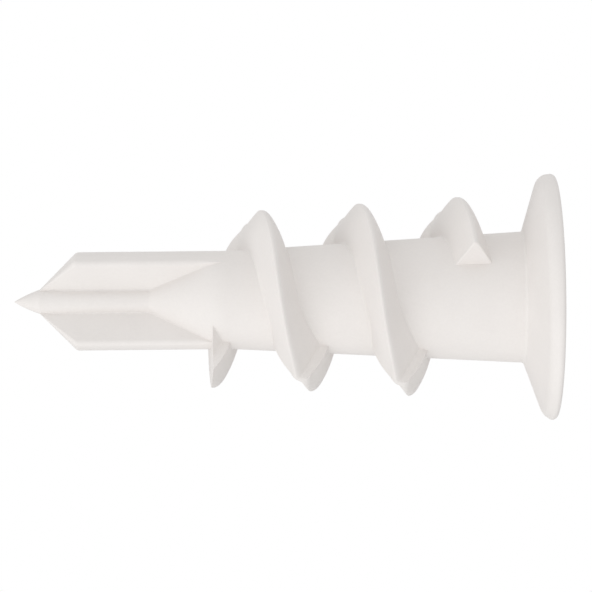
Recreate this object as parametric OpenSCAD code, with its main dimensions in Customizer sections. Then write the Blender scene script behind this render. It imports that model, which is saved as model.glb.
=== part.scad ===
// Self-drilling wall anchor, moulded in one piece of white nylon.
// The axis lies along X: the head's outer face is at X = 0 and the spike points along -X, into the wall.
// One drill wing stands above the axis and one below it, a little turned, with a flute between them at the
// front and back.
// A turn is an angle around the axis in degrees. It is 0 at the front (-Y) and grows downwards, the way
// the right-hand thread runs from the drill wings towards the head.

/* [Spike and drill wings] */
// Length of the pointed end of the spike
point_l = 1.6; // [1.2:0.1:2.4]
// Radius of the slight bulge along the sides of the point
point_curve = 8; // [4:0.5:20]
// Diameter of the spike behind its point
spike_d = 1.5; // [1.2:0.05:1.8]
// Diameter of the hole that the drill wings cut
drill_d = 6; // [5.4:0.1:6.6]
// Length of the wings from their cutting edges to the nose cone
wing_l = 6.7; // [5:0.1:9]
// Angle between the axis and a cutting edge
cutting_angle = 45; // [35:1:60]
// Width of a wing where it leaves the spike
wing_root_w = 0.65; // [0.4:0.05:1]
// Width of a wing at its outer edge
wing_land_w = 3.55; // [2.5:0.05:4.2]
// Angle by which both wings are turned about the axis, out of the upright
wing_turn = 4.2; // [0:0.2:10]

/* [Nose and shank] */
// Length of the cone on which the flutes run out
nose_l = 4.3; // [3.6:0.1:5.5]
// Radius of the bend from the cone into the shank
nose_round = 2.5; // [1:0.1:4]
// Length of the shank that keeps the drill diameter
straight_l = 0.1; // [0.1:0.1:1.5]
// Length of the tapered shank, up to the head
taper_l = 17.7; // [16.5:0.1:22]
// Diameter of the shank where it meets the head
neck_d = 8; // [7:0.1:9]

/* [Thread] */
// Height of the thread above the shank
thread_h = 2.35; // [1.6:0.05:2.8]
// Width of the thread where it leaves the shank
thread_root_w = 2.1; // [1.6:0.02:2.8]
// Width of the flat on the crest
thread_crest_w = 0.2; // [0.1:0.02:0.4]
// Width by which a flank bulges between the crest and the shank, at the parting lines of the mould
flank_bulge_w = 0.25; // [0:0.01:0.4]
// Offset along the axis from the end of each half turn to the start of the next one
half_offset = 0.38; // [0.1:0.02:0.5]
// Angle into a half turn at which the thread begins to fall behind the even helix
lag_start_angle = 40; // [0:5:80]
// Angle into a half turn at which it has fallen behind by the whole offset
lag_end_angle = 140; // [100:5:180]
// Angle over which the step on the tip side runs out after a parting line
step_ease_angle = 15; // [5:1:40]
// Distance along the axis from the last of the crest to the head
thread_gap = 2.83; // [2:0.01:4]
// Distance along the axis from the shank to the crest below the start, on the nose
start_lap = 1.01; // [0.6:0.01:1.4]
// Turn angle at which the last winding is cut off square
thread_end_angle = -31.5; // [-60:0.5:0]
// Turn angle of the lower parting line, where the two halves of the mould meet
parting_angle = 58.5; // [45:0.5:75]
// Angle by which the starting face of the thread is turned towards the front
start_tilt = 6; // [2:1:12]
// Distance along the axis from the starting face to the crest below it
start_land = 0.26; // [0.1:0.02:0.6]

/* [Head] */
// Diameter of the head
head_d = 15; // [13:0.1:17]
// Depth of the head at the shank
head_t = 2; // [1.6:0.1:3]
// Depth of the head at its rim, before rounding
rim_t = 0.88; // [0.8:0.02:1.3]
// Radius of the rim on the wall side
rim_round = 1; // [0.4:0.05:1]
// Radius of the edge around the outer face
face_round = 0.12; // [0.05:0.01:0.14]
// Radius of the fillet between shank and head
neck_fillet = 0.2; // [0.1:0.05:0.6]

/* [Screw bore and drive recess] */
// Diameter of the bore that the screw cuts into
bore_d = 3.2; // [2.6:0.1:3.6]
// Depth of the straight bore below the outer face
bore_l = 18.6; // [15:0.1:21]
// Included angle of the closed end of the bore
bore_end_angle = 118; // [90:1:140]
// Width of the chamfer around the mouth of the bore
bore_chamfer = 0.4; // [0.2:0.05:0.8]
// Span of the cross recess at the outer face
recess_span = 5; // [4.4:0.1:6]
// Span of the cross recess at its floor
recess_floor_span = 3.7; // [3.6:0.1:4.4]
// Width of the four slots of the recess
recess_w = 1.2; // [0.8:0.05:1.6]
// Depth of the recess
recess_depth = 3.4; // [2.4:0.1:4.5]

/* [Hidden] */

$fn = 96;
nylon = [0.93, 0.92, 0.9];
past = 1;           // how far a cutting shape runs past what it cuts
arc_steps = 10;     // straight stretches in each rounded corner of a profile
turn_step = 7.5;    // turn between two sections of the thread
section_levels = 7; // points up each flank of a thread section
thread_sink = 0.3;  // how far a thread section starts inside the shank

spike_r = spike_d / 2;
drill_r = drill_d / 2;
neck_r = neck_d / 2;
head_r = head_d / 2;
bore_r = bore_d / 2;

// Places along the axis, from the head to the tip
neck_x = -head_t;
taper_x = neck_x - taper_l;
nose_back_x = taper_x - straight_l;
nose_angle = atan((drill_r - spike_r) / nose_l);
nose_corner_x = nose_back_x - nose_round * tan(nose_angle / 2);
nose_front_x = nose_corner_x - nose_l;
wing_x = nose_front_x - wing_l;
tip_x = wing_x - point_l;
shank_end_x = neck_x - neck_fillet;
wing_full_x = wing_x + (drill_r - spike_r) / tan(cutting_angle);

// The thread: a helix between two points of its crest, one below the start and one at the cut end
full_turns = 3;
first_turn = 0;
bottom_turn = 90;
last_turn = 360 * full_turns + thread_end_angle;
thread_begin_x = nose_back_x - start_lap;
thread_end_x = neck_x - thread_gap;
thread_pitch = 360 * (thread_end_x - thread_begin_x) / (last_turn - bottom_turn);
helix_rise = thread_pitch / (2 * PI);
flank_slope = (thread_root_w - thread_crest_w) / 2 / thread_h;
start_x = thread_begin_x - start_land;

function unit(v) = v / norm(v);
function limit(v, low, high) = min(max(v, low), high);

// Arc of radius r that rounds the corner b between the lines to a and to c
function corner_arc(a, b, c, r) =
    let (
        to_a = unit(a - b),
        to_c = unit(c - b),
        half = acos(to_a * to_c) / 2,
        centre = b + unit(to_a + to_c) * r / sin(half),
        first = b + to_a * r / tan(half),
        last = b + to_c * r / tan(half)
    )
    [for (i = [0:arc_steps]) centre + unit(first + (last - first) * i / arc_steps - centre) * r];

// Arc of radius r from a to b, bulging to the right of the way
function bulge_arc(a, b, r) =
    let (
        way = unit(b - a),
        side = [way[1], -way[0]],
        half = norm(b - a) / 2,
        centre = (a + b) / 2 - side * sqrt(r * r - half * half)
    )
    [for (i = [0:arc_steps]) centre + unit(a + (b - a) * i / arc_steps - centre) * r];

// Radius of the shank, and of the solid of revolution that carries the thread, at a place on the axis
function shank_r(x) = drill_r + (neck_r - drill_r) * limit((x - taper_x) / taper_l, 0, 1);
function core_r(x) = x > nose_corner_x ? shank_r(x)
    : max(spike_r, drill_r - (nose_corner_x - x) * tan(nose_angle));

// The even helix, the radius of the thread's crest at a turn, and how far down its flank a radius lies there
function helix_x(turn) = thread_end_x + thread_pitch * (turn - last_turn) / 360;
function crest_r(turn) = shank_r(helix_x(turn)) + thread_h;
function drop_share(turn, r) = limit((crest_r(turn) - r) / thread_h, 0, 1);

// Half the thread's width at a radius. The head side bulges where a half turn begins and the tip side at
// both ends of it. Both flanks are straight in the middle.
function head_bulge(angle) = flank_bulge_w * max(cos(angle), 0);
function tip_bulge(angle) = flank_bulge_w * cos(angle) ^ 2;
function half_w(turn, r, bulge) =
    let (share = drop_share(turn, r))
    thread_crest_w / 2 + flank_slope * (crest_r(turn) - r) + 4 * bulge * share * (1 - share);

// Along each half turn the crest and the tip side fall behind the even helix, up to the step.
// The foot of the head side falls behind too, and is back on the helix where the half turn ends.
function tip_side_lag(angle) =
    let (share = limit((angle - lag_start_angle) / (lag_end_angle - lag_start_angle), 0, 1))
    half_offset * (1 - cos(180 * share)) / 2;
function foot_lag(angle) = half_offset * (1 - cos(2 * angle * angle / 180)) / 2;
function head_side_lag(angle, turn, r) =
    let (share = drop_share(turn, r))
    tip_side_lag(angle) * (1 - share) + foot_lag(angle) * share;
function head_flank_x(turn, r, entry) =
    let (angle = turn - entry)
    helix_x(turn) - head_side_lag(angle, turn, r) + half_w(turn, r, head_bulge(angle));
function tip_flank_x(turn, r, entry) =
    let (angle = turn - entry)
    helix_x(turn) - tip_side_lag(angle) - half_w(turn, r, tip_bulge(angle));

// Each half of the mould draws straight off, so near a parting line the flank that would lock it in is
// filled up along the way that the half draws. Depth is the distance from the plane of that way and the
// axis. The angle found is how far from the parting line the flank that shows at this depth lies.
function drawn_angle(angle, depth, turn) =
    let (
        k = helix_rise / (flank_slope * depth),
        widest = asin((sqrt(1 + 4 * k * k) - 1) / (2 * k)),
        crest = acos(min(1, depth / crest_r(turn)))
    )
    max(angle, min(widest, crest));

function head_side_x(turn, r, entry) =
    let (angle = turn - entry, depth = r * cos(angle))
    depth <= 0 ? head_flank_x(turn, r, entry)
    : let (drawn = drawn_angle(angle, depth, turn))
      head_flank_x(entry + drawn, depth / cos(drawn), entry);

function tip_drawn_x(turn, r, entry) =
    let (leave = entry + 180, angle = leave - turn, depth = r * cos(angle))
    depth <= 0 ? tip_flank_x(turn, r, entry)
    : let (drawn = drawn_angle(angle, depth, turn))
      tip_flank_x(leave - drawn, depth / cos(drawn), entry);

// On the tip side the step from the half turn before runs out smoothly
function tip_side_x(turn, r, entry) =
    let (
        share = limit((turn - entry) / step_ease_angle, 0, 1),
        step = tip_drawn_x(entry, r, entry - 180) - tip_drawn_x(entry, r, entry)
    )
    tip_drawn_x(turn, r, entry) + step * (1 + cos(180 * share)) / 2;

function around(x, r, turn) = [x, -r * cos(turn), -r * sin(turn)];

// One section of the thread: up the tip side, then down the head side
function thread_section(turn, entry) =
    let (
        low = core_r(helix_x(turn) - thread_root_w) - thread_sink,
        high = crest_r(turn),
        levels = [for (i = [0:section_levels - 1]) low + (high - low) * i / (section_levels - 1)]
    )
    concat(
        [for (r = levels) around(tip_side_x(turn, r, entry), r, turn)],
        [for (i = [section_levels - 1:-1:0]) around(head_side_x(turn, levels[i], entry), levels[i], turn)]
    );

module along_axis() {
    rotate([0, 90, 0]) children();
}

module turned(profile) {
    along_axis() rotate_extrude() polygon(profile);
}

// The thread between two turns, inside the half of the mould that begins at the turn entry
module thread_sweep(first, last, entry) {
    steps = ceil((last - first) / turn_step);
    ring = 2 * section_levels;
    points = [
        for (i = [0:steps])
            each thread_section(first + (last - first) * i / steps, entry)
    ];
    sides = [
        for (i = [0:steps - 1], j = [0:ring - 1])
            let (a = i * ring + j, b = i * ring + (j + 1) % ring)
            each [[a, b, b + ring], [a, b + ring, a + ring]]
    ];
    ends = [
        for (j = [0:section_levels - 2], at = [0, steps * ring])
            let (
                low = at + j,
                low_far = at + ring - 1 - j,
                quad = [low, low_far, low_far - 1, low + 1]
            )
            each at == 0
                ? [[quad[0], quad[1], quad[2]], [quad[0], quad[2], quad[3]]]
                : [[quad[2], quad[1], quad[0]], [quad[3], quad[2], quad[0]]]
    ];
    polyhedron(points, concat(sides, ends));
}

module spike_form() {
    turned(concat(
        bulge_arc([0, tip_x], [spike_r, wing_x], point_curve),
        [[spike_r, nose_front_x], [0, nose_front_x]]
    ));
}

module nose_form() {
    front = [spike_r, nose_front_x];
    corner = [drill_r, nose_corner_x];
    back = [drill_r, nose_back_x];
    turned(concat(
        [[0, nose_front_x], front],
        corner_arc(front, corner, back, nose_round),
        [[0, nose_back_x]]
    ));
}

module shank_form() {
    turned([
        [0, nose_back_x],
        [drill_r, nose_back_x],
        [drill_r, taper_x],
        [shank_r(shank_end_x), shank_end_x],
        [0, shank_end_x]
    ]);
}

module wing_form(side) {
    root_r = sqrt(spike_r ^ 2 - (wing_root_w / 2) ^ 2);
    land_r = sqrt(drill_r ^ 2 - (wing_land_w / 2) ^ 2);
    spread = (wing_land_w - wing_root_w) / 2 / (land_r - root_r);
    outer_r = drill_r + past;
    outer_w = wing_root_w / 2 + spread * (outer_r - root_r);
    apex_r = root_r - wing_root_w / 2 / spread;
    intersection() {
        turned([
            [0, wing_x],
            [spike_r, wing_x],
            [drill_r, wing_full_x],
            [drill_r, nose_back_x],
            [0, nose_back_x]
        ]);
        rotate([wing_turn, 0, 0])
            translate([wing_x - past, 0, 0])
            along_axis()
            linear_extrude(nose_back_x - wing_x + 2 * past)
            polygon(side * [[-apex_r, 0], [-outer_r, outer_w], [-outer_r, -outer_w]]);
    }
}

module drill_wing(side) {
    difference() {
        wing_form(side);
        spike_form();
        nose_form();
    }
}

module screw_bore() {
    end_l = bore_r / tan(bore_end_angle / 2);
    turned([
        [0, -bore_l - end_l],
        [bore_r, -bore_l],
        [bore_r, -bore_chamfer],
        [bore_r + bore_chamfer + past, past],
        [0, past]
    ]);
}

module drive_recess() {
    slope = (recess_span - recess_floor_span) / recess_depth;
    mouth_span = recess_span + slope * past;
    along_axis()
        for (turn = [0, 90])
            rotate([90, 0, turn])
            linear_extrude(recess_w, center = true)
            polygon([
                [-mouth_span / 2, past],
                [mouth_span / 2, past],
                [recess_floor_span / 2, -recess_depth],
                [-recess_floor_span / 2, -recess_depth]
            ]);
}

// The plane face at which the thread starts, a little turned towards the front
module start_cut() {
    reach = head_d;
    translate([start_x, 0, 0])
        rotate([0, 0, start_tilt])
        translate([-reach, -reach, -reach])
        cube([reach, 2 * reach, 2 * reach]);
}

// Nodes
module pilot_spike() {
    color(nylon) spike_form();
}

module upper_drill_wing() {
    color(nylon) drill_wing(1);
}

module lower_drill_wing() {
    color(nylon) drill_wing(-1);
}

module nose_cone() {
    color(nylon)
        difference() {
            nose_form();
            screw_bore();
        }
}

module shank() {
    color(nylon)
        difference() {
            shank_form();
            screw_bore();
            drive_recess();
        }
}

module head_flange() {
    neck = [shank_r(shank_end_x), shank_end_x];
    inner = [neck_r, neck_x];
    rim = [head_r, -rim_t];
    edge = [head_r, 0];
    color(nylon)
        difference() {
            turned(concat(
                [[0, shank_end_x], neck],
                corner_arc(neck, inner, rim, neck_fillet),
                corner_arc(inner, rim, edge, rim_round),
                corner_arc(rim, edge, [0, 0], face_round),
                [[0, 0]]
            ));
            screw_bore();
            drive_recess();
        }
}

// What carries the thread and is cut out of it
module core_form() {
    shank_form();
    nose_form();
    wing_form(1);
    wing_form(-1);
}

// Half a turn of the thread. Half 0 begins at the lower parting line, at the start.
module thread_half(half) {
    entry = parting_angle + 180 * half;
    color(nylon)
        difference() {
            thread_sweep(entry, min(entry + 180, last_turn), entry);
            core_form();
        }
}

// The first half turn and the short lead-in before it, from the starting face on the nose and the lower wing
module thread_start() {
    color(nylon)
        difference() {
            union() {
                thread_sweep(first_turn, parting_angle, parting_angle - 180);
                thread_sweep(parting_angle, parting_angle + 180, parting_angle);
            }
            core_form();
            start_cut();
        }
}

module thread_front_1() {
    thread_half(1);
}

module thread_rear_1() {
    thread_half(2);
}

module thread_front_2() {
    thread_half(3);
}

module thread_rear_2() {
    thread_half(4);
}

module thread_end() {
    thread_half(5);
}

pilot_spike();
upper_drill_wing();
lower_drill_wing();
nose_cone();
shank();
head_flange();
thread_start();
thread_front_1();
thread_rear_1();
thread_front_2();
thread_rear_2();
thread_end();
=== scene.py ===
import math

import bmesh
import bpy
from mathutils import Matrix, Vector


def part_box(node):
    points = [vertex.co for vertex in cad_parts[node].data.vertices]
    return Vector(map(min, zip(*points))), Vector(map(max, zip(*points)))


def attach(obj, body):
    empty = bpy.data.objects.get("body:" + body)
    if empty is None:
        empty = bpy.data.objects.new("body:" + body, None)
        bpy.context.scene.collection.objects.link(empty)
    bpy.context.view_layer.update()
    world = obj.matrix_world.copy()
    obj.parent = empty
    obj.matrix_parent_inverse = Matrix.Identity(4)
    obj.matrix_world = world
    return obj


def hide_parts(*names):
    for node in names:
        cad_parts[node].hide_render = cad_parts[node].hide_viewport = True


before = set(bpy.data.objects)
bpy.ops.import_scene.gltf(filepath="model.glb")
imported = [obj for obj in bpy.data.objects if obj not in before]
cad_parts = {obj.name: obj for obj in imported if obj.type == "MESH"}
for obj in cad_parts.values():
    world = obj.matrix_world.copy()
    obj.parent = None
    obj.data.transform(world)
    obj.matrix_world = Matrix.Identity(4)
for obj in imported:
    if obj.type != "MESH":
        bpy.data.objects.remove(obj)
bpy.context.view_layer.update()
mm = 0.001  # all sizes below are in millimetres, like the construction


def nodeBox(name):
    low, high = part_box(name)
    return low / mm, high / mm


def sinD(angle):
    return math.sin(math.radians(angle))


def cosD(angle):
    return math.cos(math.radians(angle))


def clamp(value, low, high):
    return min(max(value, low), high)


# places along the axis and radii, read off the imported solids
spikeLow, spikeHigh = nodeBox("pilot_spike")
noseHigh = nodeBox("nose_cone")[1]
shankHigh = nodeBox("shank")[1]
headHigh = nodeBox("head_flange")[1]
wingLow = nodeBox("upper_drill_wing")[0]
tipX, noseFrontX, spikeR = spikeLow.x, spikeHigh.x, spikeHigh.y
noseBackX, drillR = noseHigh.x, noseHigh.y
shankEndX, shankEndR = shankHigh.x, shankHigh.y
faceX, headR = headHigh.x, headHigh.y
wingX = wingLow.x


class Wire:  # one output socket, with maths written as plain expressions
    def __init__(self, tree, socket):
        self.tree = tree
        self.socket = socket

    def calc(self, operation, first, second):
        return self.tree.make("ShaderNodeMath", {"operation": operation}, {0: first, 1: second})

    def __add__(self, other):
        return self.calc("ADD", self, other)

    def __radd__(self, other):
        return self.calc("ADD", other, self)

    def __sub__(self, other):
        return self.calc("SUBTRACT", self, other)

    def __rsub__(self, other):
        return self.calc("SUBTRACT", other, self)

    def __mul__(self, other):
        return self.calc("MULTIPLY", self, other)

    def __rmul__(self, other):
        return self.calc("MULTIPLY", other, self)

    def above(self, least):
        return self.calc("MAXIMUM", self, least)


class ShaderTree:
    def __init__(self, owner):
        owner.use_nodes = True
        self.tree = owner.node_tree
        self.tree.nodes.clear()

    def make(self, kind, settings, inputs, output=0):
        node = self.tree.nodes.new(kind)
        for name, value in settings.items():
            if name == "stops":
                self.setStops(node.color_ramp.elements, value)
            else:
                setattr(node, name, value)
        for name, value in inputs.items():
            if isinstance(value, Wire):
                self.tree.links.new(value.socket, node.inputs[name])
            else:
                node.inputs[name].default_value = value
        return Wire(self, node.outputs[output]) if node.outputs else None

    def setStops(self, elements, stops):
        while len(elements) < len(stops):
            elements.new(1)
        for element, (place, colour) in zip(elements, stops):
            element.position = place
            element.color = colour


# white nylon, straight from the mould
nylonLook = {
    "bright": (0.850, 0.818, 0.794, 1),
    "dull": (0.815, 0.782, 0.758, 1),
    "cloudSize": 2.6,       # soft clouds in the colour
    "speckSize": 0.16,      # fine mottling
    "speckShare": 0.45,
    "rampStops": (0.3, 0.7),  # noise at which the colour is quite dull and quite bright
    "noiseRoughness": 0.55,
    "roughness": 0.52,
    "roughSpread": 0.16,
    "specular": 0.25,
    "refraction": 1.53,
    "grainSize": 0.11,      # grain of the mould's surface
    "grainHeight": 0.0035,
    "grainStrength": 0.35,
    "waveSize": 1.5,        # slight sink of the moulding
    "waveHeight": 0.012,
    "waveStrength": 0.3,
}


def noiseAt(tree, place, size, detail, look):
    return tree.make(
        "ShaderNodeTexNoise",
        {"noise_dimensions": "3D"},
        {"Vector": place, "Scale": 1 / (size * mm), "Detail": detail, "Roughness": look["noiseRoughness"]},
    )


def makeNylon(look):
    material = bpy.data.materials.new("whiteNylon")
    tree = ShaderTree(material)
    place = tree.make("ShaderNodeTexCoord", {}, {}, "Object")
    cloud = noiseAt(tree, place, look["cloudSize"], 3, look)
    speck = noiseAt(tree, place, look["speckSize"], 2, look)
    grain = noiseAt(tree, place, look["grainSize"], 3, look)
    wave = noiseAt(tree, place, look["waveSize"], 1, look)
    shade = cloud * (1 - look["speckShare"]) + speck * look["speckShare"]
    low, high = look["rampStops"]
    colour = tree.make(
        "ShaderNodeValToRGB",
        {"stops": [(low, look["dull"]), (high, look["bright"])]},
        {"Fac": shade},
    )
    rough = look["roughness"] + (speck - 0.5) * look["roughSpread"]
    sink = tree.make(
        "ShaderNodeBump", {},
        {"Strength": look["waveStrength"], "Distance": look["waveHeight"] * mm, "Height": wave},
    )
    skin = tree.make(
        "ShaderNodeBump", {},
        {
            "Strength": look["grainStrength"],
            "Distance": look["grainHeight"] * mm,
            "Height": grain,
            "Normal": sink,
        },
    )
    surface = tree.make(
        "ShaderNodeBsdfPrincipled", {},
        {
            "Base Color": colour,
            "Roughness": rough,
            "Specular IOR Level": look["specular"],
            "IOR": look["refraction"],
            "Normal": skin,
        },
    )
    tree.make("ShaderNodeOutputMaterial", {}, {"Surface": surface})
    return material


nylon = makeNylon(nylonLook)
print("material: white nylon")


# camera of the photograph: level with the axis, square to it, a little rolled
cameraSet = {
    "x": -15.8,
    "distance": 171,
    "height": 0.202,
    "roll": 0.56,
    "focal": 2802,      # in pixels of the picture
    "picture": 592,
    "sensor": 36,
    "nearest": 0.01,    # in metres
}


def makeCamera(use):
    data = bpy.data.cameras.new("photoCamera")
    data.sensor_width = use["sensor"]
    data.lens = use["sensor"] * use["focal"] / use["picture"]
    data.clip_start = use["nearest"]
    camera = bpy.data.objects.new("photoCamera", data)
    level = Matrix.Rotation(math.radians(90), 4, "X")
    roll = Matrix.Rotation(math.radians(-use["roll"]), 4, "Z")
    place = Vector((use["x"], -use["distance"], use["height"])) * mm
    camera.matrix_world = Matrix.Translation(place) @ (level @ roll)
    bpy.context.scene.collection.objects.link(camera)
    bpy.context.scene.camera = camera


makeCamera(cameraSet)
print("camera: placed")


def around(x, r, turn):  # turn 0 faces the front, 90 is the bottom
    return Vector((x, -r * cosD(turn), -r * sinD(turn)))


def loft(loops, closed=False):
    points, faces, starts = [], [], []
    for loop in loops:
        starts.append(len(points))
        points.extend(loop)
    pairs = [(i, i + 1) for i in range(len(loops) - 1)]
    if closed:
        pairs.append((len(loops) - 1, 0))
    for i, j in pairs:
        a, b = starts[i], starts[j]
        count = max(len(loops[i]), len(loops[j]))
        for k in range(count):
            n = (k + 1) % count
            if len(loops[i]) == 1:
                faces.append((a, b + n, b + k))
            elif len(loops[j]) == 1:
                faces.append((a + k, a + n, b))
            else:
                faces.append((a + k, a + n, b + n, b + k))
    return points, faces


def cornerArc(a, b, c, radius, steps=6):  # rounds the corner b between the lines to a and to c
    a, b, c = Vector(a), Vector(b), Vector(c)
    toA, toC = (a - b).normalized(), (c - b).normalized()
    half = math.acos(clamp(toA.dot(toC), -1, 1)) / 2
    centre = b + (toA + toC).normalized() * radius / math.sin(half)
    first = b + toA * radius / math.tan(half)
    last = b + toC * radius / math.tan(half)
    return [centre + (first.lerp(last, i / steps) - centre).normalized() * radius for i in range(steps + 1)]


sharpAngle = 32   # edges that turn by more than this are shaded as edges


def finishMesh(bm, name):
    bmesh.ops.recalc_face_normals(bm, faces=bm.faces)
    mesh = bpy.data.meshes.new(name)
    bm.to_mesh(mesh)
    bm.free()
    mesh.shade_smooth()
    mesh.set_sharp_from_angle(angle=math.radians(sharpAngle))
    mesh.materials.append(nylon)
    piece = bpy.data.objects.new(name, mesh)
    bpy.context.scene.collection.objects.link(piece)
    return piece


def toBmesh(shells):
    bm = bmesh.new()
    for points, faces in shells:
        made = [bm.verts.new(Vector(p) * mm) for p in points]
        for face in faces:
            bm.faces.new([made[i] for i in face])
    return bm


def placePiece(piece, node):
    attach(piece, "root")
    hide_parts(node)


def addPiece(name, shells, node):
    placePiece(finishMesh(toBmesh(shells), name), node)


ringCount = 160   # points around the nose and the spike


def ring(x, r):
    if r <= 0:
        return [Vector((x, 0, 0))]
    return [around(x, r, 360 * i / ringCount) for i in range(ringCount)]


# nose: a slightly full cone, bent into the shank
noseForm = {
    "bend": 3.2,         # radius of the bend from cone to shank
    "fullness": 0.02,    # how far the cone stands out between its ends
    "steps": 14,
}
taperStart = 0.1         # straight stretch of the shank between nose and taper


def noseCorner():   # the cone and the shank meet here before the bend is made
    length = noseBackX - noseFrontX
    angle = math.atan((drillR - spikeR) / length)
    for _ in range(20):   # the bend and the angle settle on each other
        cone = length - noseForm["bend"] * math.tan(angle / 2)
        angle = math.atan((drillR - spikeR) / cone)
    return noseFrontX + cone, angle


noseCornerX, noseAngle = noseCorner()
bendX = noseCornerX - noseForm["bend"] * math.tan(noseAngle / 2) * math.cos(noseAngle)


def shankR(x):
    taperX = noseBackX + taperStart
    return drillR + (shankEndR - drillR) * clamp((x - taperX) / (shankEndX - taperX), 0, 1)


def coreR(x):   # radius of what carries the wings and the thread
    if x >= noseBackX:
        return shankR(x)
    if x > bendX:
        return drillR - noseForm["bend"] + math.sqrt(noseForm["bend"] ** 2 - (noseBackX - x) ** 2)
    share = clamp((x - noseFrontX) / (bendX - noseFrontX), 0, 1)
    straight = drillR - (noseCornerX - x) * math.tan(noseAngle)
    return max(spikeR, straight + 4 * noseForm["fullness"] * share * (1 - share))


def makeNose(use):
    stations = [noseFrontX + (bendX - noseFrontX) * i / use["steps"] for i in range(use["steps"])]
    stations += [bendX + (noseBackX - bendX) * i / use["steps"] for i in range(use["steps"] + 1)]
    loops = [ring(noseFrontX, 0)] + [ring(x, coreR(x)) for x in stations] + [ring(noseBackX, 0)]
    addPiece("noseMoulding", [loft(loops)], "nose_cone")


makeNose(noseForm)
print("nose: made")


# pilot spike: a point with slightly full sides, a plain stem and a flare into the nose
spikeForm = {
    "pointCurve": 8,
    "tipRound": 0.03,
    "shoulderRound": 0.5,
    "flareRound": 0.35,
    "flareSink": 0.1,    # how far the end of the flare dips into the nose
    "noseSink": 0.5,     # how far the stem runs on inside the nose
    "steps": 16,
    "tipSteps": 4,
    "shoulderSteps": 2,  # steps of the point that the shoulder's rounding takes up
}


def makeSpike(use):
    tip, shoulder, stem = Vector((tipX, 0)), Vector((wingX, spikeR)), Vector((noseFrontX, spikeR))
    chord = shoulder - tip
    side = Vector((-chord.y, chord.x)).normalized()
    centre = tip + chord / 2 - side * math.sqrt(use["pointCurve"] ** 2 - (chord.length / 2) ** 2)
    curve = []
    for i in range(use["steps"] + 1):
        spoke = (tip - centre).lerp(shoulder - centre, i / use["steps"]).normalized()
        curve.append(centre + spoke * use["pointCurve"])
    mirrored = (curve[1].x, -curve[1].y)
    point = cornerArc(mirrored, tip, curve[1], use["tipRound"], 2 * use["tipSteps"])[use["tipSteps"]:]
    point[0].y = 0
    cone = stem + Vector((1, math.tan(noseAngle)))
    last = use["steps"] - use["shoulderSteps"]
    profile = point + curve[1:last]
    profile += cornerArc(curve[last], shoulder, stem, use["shoulderRound"])
    profile += cornerArc(shoulder, stem, cone, use["flareRound"])
    profile.append(profile[-1] + Vector((use["flareSink"], -use["flareSink"])))
    profile.append(Vector((noseFrontX + use["noseSink"], 0)))
    addPiece("spikeMoulding", [loft([ring(p.x, p.y) for p in profile])], "pilot_spike")


makeSpike(spikeForm)
print("spike: made")


# drill wings: wedges that widen outwards, with a cutting edge at the front
wingForm = {
    "rootWidth": 0.65,
    "landWidth": 3.55,
    "cuttingAngle": 45,
    "turn": {1: 4.2, -1: 6.2},  # the upper and the lower wing stand a little turned about the axis
    "innerR": 0.3,        # the wedge starts here, inside the stem
    "innerHalf": 0.02,    # half its width there
    "rootFillet": 0.1,
    "edgeRound": 0.26,
    "shoulderRound": 0.35,
    "filletLimit": 0.4,   # largest fillet, as a share of what the wedge stands out
    "edgeLimit": 0.45,    # largest rounding of the edge, as a share of the same
    "widthLimit": 0.25,   # and of half the land
    "leastRise": 0.004,   # the wedge stands out this much even where it runs out
    "landAim": 0.8,       # share of half the land that the rounding of the edge aims at
    "landSteps": 9,
    "edgeSteps": 6,
    "sink": 0.95,         # the fillet runs on this far into what carries it
    "lead": 0.3,          # the sections along the nose begin this far in front of it
    "stations": 26,       # sections along the nose
}


def wingSection(x, outerR, side, use):
    rootR = math.sqrt(spikeR ** 2 - (use["rootWidth"] / 2) ** 2)
    landR = math.sqrt(drillR ** 2 - (use["landWidth"] / 2) ** 2)
    spread = (use["landWidth"] - use["rootWidth"]) / 2 / (landR - rootR)
    base = use["rootWidth"] / 2 - spread * rootR   # half width of the wedge is base + spread * height
    along = Vector((spread, 1)).normalized()       # up the face of the wedge
    out = Vector((along.y, -along.x))              # and away from it
    offset = base * out.x
    carrierR = coreR(x)
    outerR = max(outerR, carrierR + use["leastRise"])

    def faceAt(distance, lift=0):   # point of the face, or of a line beside it, this far from the axis
        return out * (offset + lift) + along * math.sqrt(max(distance ** 2 - (offset + lift) ** 2, 0))

    rise = outerR - carrierR
    soft = min(use["rootFillet"], use["filletLimit"] * rise)
    centre = faceAt(carrierR + soft, soft)
    first = centre * carrierR / (carrierR + soft) - centre
    last = -out * soft
    fillet = []
    for i in range(use["edgeSteps"] + 1):
        fillet.append(centre + first.lerp(last, i / use["edgeSteps"]).normalized() * soft)
    corner = faceAt(outerR)
    aim = math.degrees(math.atan2(corner.x, corner.y)) * use["landAim"]
    radius = min(use["edgeRound"], use["widthLimit"] * corner.x, use["edgeLimit"] * rise)
    beside = Vector((sinD(aim), cosD(aim))) * outerR
    edge = cornerArc(fillet[-1], corner, beside, radius, use["edgeSteps"])
    land = [edge[-1].x * (1 - i / use["landSteps"]) for i in range(1, use["landSteps"] + 1)]
    right = [Vector((use["innerHalf"], use["innerR"])), fillet[0] * use["sink"]] + fillet + edge
    right += [Vector((w, math.sqrt(outerR ** 2 - w ** 2))) for w in land]
    loop = right + [Vector((-p.x, p.y)) for p in reversed(right[:-1])]
    turned = Matrix.Rotation(math.radians(use["turn"][side]), 3, "X")
    return [turned @ Vector((x, side * p.x, side * p.y)) for p in loop]


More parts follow.
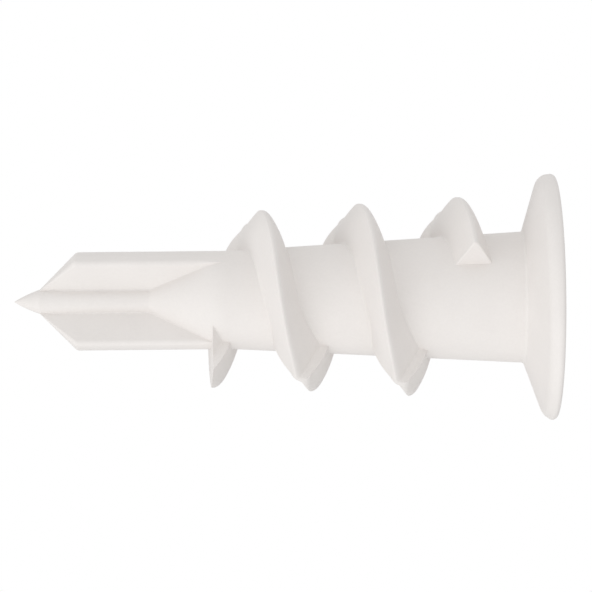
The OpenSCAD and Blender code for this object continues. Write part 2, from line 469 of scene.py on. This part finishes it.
def makeWing(name, side, node, use):
    slope = math.tan(math.radians(use["cuttingAngle"]))
    fullX = wingX + (drillR - spikeR) / slope
    start, shoulder, end = (wingX, spikeR), (fullX, drillR), (noseBackX, drillR)
    outline = [start] + [tuple(p) for p in cornerArc(start, shoulder, end, use["shoulderRound"])]
    reach = noseBackX - noseFrontX + use["lead"]
    for i in range(use["stations"] + 1):
        outline.append((noseFrontX - use["lead"] + reach * i / use["stations"], drillR))
    loops = [wingSection(x, r, side, use) for x, r in outline]
    points, faces = loft(loops)
    count = len(loops[0])
    faces += [tuple(range(count)), tuple(range(len(points) - count, len(points)))]
    addPiece(name, [(points, faces)], node)


makeWing("upperWingMoulding", 1, "upper_drill_wing", wingForm)
makeWing("lowerWingMoulding", -1, "lower_drill_wing", wingForm)
print("drill wings: made")


# screw bore and cross recess, shared by shank and head
boreForm = {
    "r": 1.6,
    "depth": 18.6,
    "endAngle": 118,
    "chamfer": 0.4,
    "slotSpan": 5,
    "slotFloorSpan": 3.7,
    "slotWidth": 1.2,
    "slotDepth": 3.4,
    "slotBow": 0.06,      # bow of a slot's end wall
    "mouthRound": 0.1,
    "mouthTurns": (0, 30, 60, 90),
    "floorRound": 0.12,
    "floorCurve": ((0, -0.4), (0.3, -0.1), (1, 0)),   # height and inset, as shares of that rounding
    "steps": 8,           # points along each stretch of the outline
}


def boreOutline(x, grow, use):
    # the round hole with four slots, as one loop around the axis
    hole = use["r"] + max(0, use["chamfer"] + x) + grow
    half = use["slotWidth"] / 2 + grow
    span = use["slotSpan"] + (use["slotFloorSpan"] - use["slotSpan"]) * -x / use["slotDepth"]
    end = span / 2 + grow
    inner = math.degrees(math.asin(half / hole))
    n = use["steps"]
    turns = [-45 + (45 - inner) * i / n for i in range(n)]
    quarter = [Vector((hole * cosD(t), hole * sinD(t))) for t in turns]
    start = Vector((hole * cosD(inner), -half))
    corner = Vector((end - use["slotBow"], -half))
    quarter += [start.lerp(corner, i / n) for i in range(n)]
    for i in range(n + 1):
        y = -half + 2 * half * i / n
        quarter.append(Vector((end - use["slotBow"] * (y / half) ** 2, y)))
    quarter += [Vector((p.x, -p.y)) for p in reversed(quarter[1:2 * n])]
    loop = []
    for arm in range(4):
        turned = Matrix.Rotation(math.radians(90 * arm), 2)
        loop += [turned @ p for p in quarter]
    return [Vector((x, p.x, p.y)) for p in loop]


def outlineRing(x, r):  # a circle with its points in line with those of the recess
    if r <= 0:
        return [Vector((x, 0, 0))]
    guide = boreOutline(-boreForm["chamfer"], 0, boreForm)
    return [Vector((x, p.y * r / math.hypot(p.y, p.z), p.z * r / math.hypot(p.y, p.z))) for p in guide]


# shank: a slight taper around the bore
shankForm = {
    "stations": 40,                # sections along the outside
    "endShares": (0.9, 0.5, 0.02),  # sections along the pointed end of the bore, from its point
    "boreStops": (-14, -9, -5),    # sections along the bore
    "cornerGap": 0.03,             # keeps the corners of the bore crisp
}


def makeShank(use, bore):
    endDepth = bore["r"] / math.tan(math.radians(bore["endAngle"] / 2))
    floor, soft, gap = -bore["slotDepth"], bore["floorRound"], use["cornerGap"]
    loops = [outlineRing(-bore["depth"] - endDepth, 0)]
    loops += [outlineRing(-bore["depth"] - endDepth * s, bore["r"] * (1 - s)) for s in use["endShares"]]
    loops += [outlineRing(x, bore["r"]) for x in (-bore["depth"] + gap, *use["boreStops"], floor - gap)]
    loops += [boreOutline(floor + up * soft, grow * soft, bore) for up, grow in bore["floorCurve"]]
    loops.append(boreOutline(shankEndX, 0, bore))
    reach = noseBackX - shankEndX
    stations = [shankEndX + reach * i / use["stations"] for i in range(use["stations"] + 1)]
    loops += [outlineRing(x, shankR(x)) for x in stations]
    loops.append(outlineRing(noseBackX, 0))
    addPiece("shankMoulding", [loft(loops)], "shank")


makeShank(shankForm, boreForm)
print("shank: made")


# head: a shallow cone under a flat face
headForm = {
    "neckX": -2,
    "rimX": -0.88,
    "rimRound": 0.8,
    "faceRound": 0.25,
    "neckFillet": 0.2,
    "warp": 0.067,       # the underside lies this much nearer to the face,
    "lean": 0.134,       # at the bottom rim by this much more and at the top by as much less
    "warpRamp": 0.4,     # over which the warp fades out towards the shank and the face
    "filletSteps": 10,
    "rimSteps": 14,
    "faceSteps": 6,
    "faceRings": (6, 4.6, 3.6),   # radii of the rings across the face
    "boreStops": (-1, -1.6),      # sections along the recess
    "leastGap": 0.01,             # a fillet point closer to the shank than this is left out
}


def headRing(p, use):
    outward = clamp((p.y - shankEndR) / use["warpRamp"], 0, 1)
    share = outward * clamp((faceX - use["faceRound"] - p.x) / use["warpRamp"], 0, 1)
    loop = outlineRing(p.x, p.y)
    for point in loop:
        point.x += share * (use["warp"] - use["lean"] * point.z / headR)
    return loop


def makeHead(use, bore):
    slope = (shankEndR - drillR) / (shankEndX - noseBackX - taperStart)
    neckR = shankEndR + slope * (use["neckX"] - shankEndX)
    low = (shankEndX - 1, shankEndR - slope)
    neck, rim, edge = (use["neckX"], neckR), (use["rimX"], headR), (faceX, headR)
    profile = [Vector((shankEndX, shankEndR))]
    fillet = cornerArc(low, neck, rim, use["neckFillet"], use["filletSteps"])
    profile += [p for p in fillet if p.x > shankEndX + use["leastGap"]]
    profile += cornerArc(neck, rim, edge, use["rimRound"], use["rimSteps"])
    profile += cornerArc(rim, edge, (faceX, 0), use["faceRound"], use["faceSteps"])
    loops = [headRing(p, use) for p in profile]
    loops += [outlineRing(faceX, r) for r in use["faceRings"]]
    soft = bore["mouthRound"]
    for turn in bore["mouthTurns"]:
        loops.append(boreOutline(faceX - soft * (1 - cosD(turn)), soft * (1 - sinD(turn)), bore))
    loops += [boreOutline(x, 0, bore) for x in (-bore["chamfer"], *use["boreStops"], shankEndX)]
    addPiece("headMoulding", [loft(loops, closed=True)], "head_flange")


makeHead(headForm, boreForm)
print("head: made")


# thread: a right-hand helix in half turns, each as its half of the mould leaves it
threadForm = {
    "height": 2.35,
    "rootWidth": 2.1,
    "crestWidth": 0.2,
    "flankBulge": 0.25,     # how full the flanks are near the parting lines
    "lagStart": 40,         # turn after which a half turn falls behind the even helix
    "lagSpan": 100,         # turn over which it does
    "halfOffset": 0.34,     # how far it falls behind
    "endGap": 4.93,         # from the face to the last of the crest
    "startLap": 1.01,       # how far the crest below the start lies in front of the shank
    "endTurn": 1048.5,
    "bottomTurn": 90,
    "partingTurn": 58.5,    # where the two halves of the mould met
    "startTilt": 6,         # of the plane face at the start
    "startLand": 0.26,      # how far that face lies in front of the crest below it
    "crestRound": {1: 0.3, -1: 0.03},   # height of the crest's rounding, on the head side and the tip side
    "crestTrim": {1: 0.16, -1: 0.02},   # how much of the crest's width it takes
    "crestLean": 0.07,      # how far the crest lies off its middle, towards the tip
    "crestLeast": 0.01,     # half of the width that is always left
    "footRound": 0.09,      # fillet where a flank meets the shank
    "footSink": 0.02,       # how far the fillet runs into the shank
    "baseSink": 0.12,       # and how much further the thread does
    "edgeRound": 0.1,       # edges of the end faces
    "edgeStep": 15,         # degrees between the sections of that rounding
    "stepFillet": 0.12,     # inner corner of a step on the head side
    "stepEase": 7.5,        # turn over which the tip side eases out of a step
    "upperBulge": 0.5,      # how much fuller the tip side is around the step at the top
    "topSwell": 0.06,       # how much thicker each side is at the top
    "step": 2,              # degrees between sections
    "endStops": (1.2, 1.6, 2, 2.5, 3, 4, 5, 6),   # closer sections, in degrees from either end
    "levels": 22,           # points up each flank
}
beginX = noseBackX - threadForm["startLap"]
endX = faceX - threadForm["endGap"]
pitch = 360 * (endX - beginX) / (threadForm["endTurn"] - threadForm["bottomTurn"])
flankSlope = (threadForm["rootWidth"] - threadForm["crestWidth"]) / 2 / threadForm["height"]
helixRise = pitch / (2 * math.pi)


def helixX(turn):
    return endX + pitch * (turn - threadForm["endTurn"]) / 360


def crestR(turn):
    return shankR(helixX(turn)) + threadForm["height"]


def dropShare(turn, r):
    return clamp((crestR(turn) - r) / threadForm["height"], 0, 1)


def halfWidth(turn, r, share):
    drop = dropShare(turn, r)
    bulge = 4 * threadForm["flankBulge"] * share * drop * (1 - drop)
    swell = threadForm["topSwell"] * max(0, -sinD(turn)) ** 2
    return threadForm["crestWidth"] / 2 + flankSlope * (crestR(turn) - r) + bulge + swell


def headBulge(angle):  # the flanks are full near the parting lines and straight in between
    return max(cosD(angle), 0)


def leadsUp(entry):  # a half turn from the bottom to the top, around the back
    return round((entry - threadForm["partingTurn"]) / 180) % 2 == 0


def tipBulge(angle, entry):
    nearTop = leadsUp(entry) == (angle > 90)
    return cosD(angle) ** 2 * (1 + threadForm["upperBulge"] if nearTop else 1)


def tipLag(angle):
    share = clamp((angle - threadForm["lagStart"]) / threadForm["lagSpan"], 0, 1)
    return threadForm["halfOffset"] * (1 - cosD(180 * share)) / 2


def footLag(angle):
    return threadForm["halfOffset"] * (1 - cosD(2 * angle * angle / 180)) / 2


def headFlankX(turn, r, entry):
    angle, drop = turn - entry, dropShare(turn, r)
    lag = tipLag(angle) * (1 - drop) + footLag(angle) * drop
    return helixX(turn) - lag + halfWidth(turn, r, headBulge(angle))


def tipFlankX(turn, r, entry):
    angle = turn - entry
    return helixX(turn) - tipLag(angle) - halfWidth(turn, r, tipBulge(angle, entry))


def drawnAngle(angle, depth, turn):  # flank that shows at this depth along the way the mould draws
    k = helixRise / (flankSlope * depth)
    widest = math.degrees(math.asin((math.sqrt(1 + 4 * k * k) - 1) / (2 * k)))
    crest = math.degrees(math.acos(min(1, depth / crestR(turn))))
    return max(angle, min(widest, crest))


def headSideX(turn, r, entry):
    angle = turn - entry
    depth = r * cosD(angle)
    if depth <= 0:
        return headFlankX(turn, r, entry)
    drawn = drawnAngle(angle, depth, turn)
    return headFlankX(entry + drawn, depth / cosD(drawn), entry)


def tipSideX(turn, r, entry):
    leave = entry + 180
    depth = r * cosD(leave - turn)
    if depth <= 0:
        return tipFlankX(turn, r, entry)
    drawn = drawnAngle(leave - turn, depth, turn)
    return tipFlankX(leave - drawn, depth / cosD(drawn), entry)


def roundOff(distance, height, width):  # quarter ellipse that eases into a corner
    if distance >= height:
        return 0
    return width * (1 - math.sqrt(max(0, 1 - (1 - max(distance, 0) / height) ** 2)))


def sideX(turn, r, entry, way):
    if way > 0:   # a small fillet where the head side meets the step to the next half turn
        own, leave = headSideX(turn, r, entry), entry + 180
        joint = headSideX(leave, r, leave)
        return own + (joint - own) * roundOff(leave - turn, math.degrees(threadForm["stepFillet"] / r), 1)
    # the tip side runs smoothly on from the half turn before
    joint = tipSideX(entry, r, entry - 180) - tipSideX(entry, r, entry)
    share = clamp((turn - entry) / threadForm["stepEase"], 0, 1)
    return tipSideX(turn, r, entry) + joint * (1 + cosD(180 * share)) / 2


def threadSide(turn, entry, inset, way):
    use = threadForm
    top = crestR(turn) - inset
    foot = coreR(helixX(turn))
    for _ in range(6):   # the foot lies on a surface that tapers, so it is found step by step
        foot = coreR(sideX(turn, foot, entry, way) + way * (use["footRound"] - inset))
    foot -= use["footSink"]
    points = []
    for i in range(use["levels"] + 1):
        r = foot + (top - foot) * (1 - math.cos(math.pi * i / use["levels"])) / 2
        flare = roundOff(r - foot, use["footRound"], use["footRound"])
        trim = roundOff(top - r, use["crestRound"][way], use["crestTrim"][way])
        level = min(r + inset, crestR(turn))
        spare = halfWidth(turn, level, 0) + way * use["crestLean"] - use["crestLeast"]
        give = min(trim + inset, spare)   # the two sides never cross at the crest
        points.append((sideX(turn, level, entry, way) + way * (flare - give), r))
    points.insert(0, (points[0][0], points[0][1] - use["baseSink"]))
    return [around(x, r, turn) for x, r in points]


def threadShell(first, last, entry):
    use = threadForm
    soft, near, plain = use["edgeRound"], use["endStops"], {1: 0, -1: 0}
    easing = []
    for angle in range(0, 91, use["edgeStep"]):
        easing.append((math.degrees(soft * (1 - cosD(angle)) / crestR(first)), soft * (1 - sinD(angle))))
    count = math.ceil((last - first) / use["step"])
    skip = math.ceil(near[-1] / use["step"])
    stops = [(first + turn, {1: inset, -1: 0}) for turn, inset in easing]
    stops += [(first + turn, plain) for turn in near]
    stops += [(first + (last - first) * i / count, plain) for i in range(skip + 1, count - skip)]
    stops += [(last - turn, plain) for turn in reversed(near)]
    free = last < entry + 180   # the very end of the thread has no half turn after it
    for turn, inset in reversed(easing):
        stops.append((last - turn, {1: inset, -1: inset} if free else plain))
    loops = []
    for turn, inset in stops:
        tipSide = threadSide(turn, entry, inset[-1], -1)
        headSide = threadSide(turn, entry, inset[1], 1)
        loops.append(tipSide + list(reversed(headSide)))
    points, faces = loft(loops)
    size = len(loops[0])
    for start in (0, len(points) - size):   # each end face is a ladder from foot to crest
        for i in range(size // 2 - 1):
            faces.append((start + i, start + i + 1, start + size - 2 - i, start + size - 1 - i))
    return points, faces


def cutStart(bm):  # the plane face where the thread begins
    use = threadForm
    tilt = math.radians(use["startTilt"])
    place = Vector((beginX - use["startLand"], 0, 0)) * mm
    normal = Vector((math.cos(tilt), math.sin(tilt), 0))
    parts = bm.verts[:] + bm.edges[:] + bm.faces[:]
    cut = bmesh.ops.bisect_plane(bm, geom=parts, plane_co=place, plane_no=normal, clear_inner=True)
    rims = [e for e in cut["geom_cut"] if isinstance(e, bmesh.types.BMEdge)]
    bmesh.ops.holes_fill(bm, edges=rims, sides=0)


def makeThread():
    parting = threadForm["partingTurn"]
    halves = ["thread_front_1", "thread_rear_1", "thread_front_2", "thread_rear_2", "thread_end"]
    bm = toBmesh([threadShell(0, parting, parting - 180), threadShell(parting, parting + 180, parting)])
    cutStart(bm)
    placePiece(finishMesh(bm, "threadStartMoulding"), "thread_start")
    for i, node in enumerate(halves):
        entry = parting + 180 * (i + 1)
        last = min(entry + 180, threadForm["endTurn"])
        addPiece("threadMoulding." + str(i + 1), [threadShell(entry, last, entry)], node)


makeThread()
print("thread: made")


# stage: a pale floor well below, light from all around, weaker from behind and the right, and a soft low key
stageSet = {
    "floorDrop": 31,
    "floorR": 105,
    "floorCorners": 96,
    "floorColour": (0.9, 0.9, 0.9, 1),
    "ambient": (0.932, 0.932, 0.932, 1),
    "backDim": 0.58,        # share of the light that is missing from straight behind
    "rightDim": 0.25,       # and from the right
    "keyAzimuth": 40,       # towards the left of the camera
    "keyElevation": -45,
    "keyDistance": 400,
    "keySize": 250,
    "keyPower": 0.311,
}


def makeFloor(use):
    bm = bmesh.new()
    bmesh.ops.create_circle(bm, cap_ends=True, segments=use["floorCorners"], radius=use["floorR"] * mm)
    bmesh.ops.translate(bm, verts=bm.verts, vec=Vector((cameraSet["x"], 0, -use["floorDrop"])) * mm)
    mesh = bpy.data.meshes.new("floor")
    bm.to_mesh(mesh)
    bm.free()
    material = bpy.data.materials.new("paleTable")
    tree = ShaderTree(material)
    paint = tree.make("ShaderNodeBsdfDiffuse", {}, {"Color": use["floorColour"]})
    tree.make("ShaderNodeOutputMaterial", {}, {"Surface": paint})
    mesh.materials.append(material)
    floor = bpy.data.objects.new("floor", mesh)
    bpy.context.scene.collection.objects.link(floor)
    floor.visible_diffuse = False   # catches the shadow without taking light from below away
    floor.visible_shadow = False


def makeWorld(use):
    world = bpy.data.worlds.new("studio")
    bpy.context.scene.world = world
    tree = ShaderTree(world)
    camera = tree.make("ShaderNodeLightPath", {}, {}, "Is Camera Ray")
    glossy = tree.make("ShaderNodeLightPath", {}, {}, "Is Glossy Ray")
    through = tree.make("ShaderNodeLightPath", {}, {}, "Is Transmission Ray")
    seen = camera + glossy + through
    way = tree.make("ShaderNodeTexCoord", {}, {}, "Generated")
    right = tree.make("ShaderNodeSeparateXYZ", {}, {"Vector": way}, "X")
    behind = tree.make("ShaderNodeSeparateXYZ", {}, {"Vector": way}, "Y")
    level = 1 - right.above(0) * use["rightDim"] - behind.above(0) * use["backDim"]
    even = tree.make("ShaderNodeBackground", {}, {"Color": use["ambient"], "Strength": level})
    white = tree.make("ShaderNodeBackground", {}, {"Color": (1, 1, 1, 1), "Strength": 1})
    mixed = tree.make("ShaderNodeMixShader", {}, {0: seen, 1: even, 2: white})
    tree.make("ShaderNodeOutputWorld", {}, {"Surface": mixed})


def makeKey(use):
    data = bpy.data.lights.new("keyLamp", "AREA")
    data.shape = "DISK"
    data.size = use["keySize"] * mm
    data.energy = use["keyPower"]
    lamp = bpy.data.objects.new("keyLamp", data)
    azimuth, elevation = use["keyAzimuth"], use["keyElevation"]
    reach = cosD(elevation)
    way = Vector((-sinD(azimuth) * reach, -cosD(azimuth) * reach, sinD(elevation)))
    lamp.location = (Vector((cameraSet["x"], 0, 0)) + way * use["keyDistance"]) * mm
    lamp.rotation_mode = "QUATERNION"
    lamp.rotation_quaternion = (-way).to_track_quat("-Z", "Y")
    bpy.context.scene.collection.objects.link(lamp)


makeFloor(stageSet)
makeWorld(stageSet)
makeKey(stageSet)
bpy.context.scene.view_settings.view_transform = "Standard"
print("stage: floor, world and key lamp")
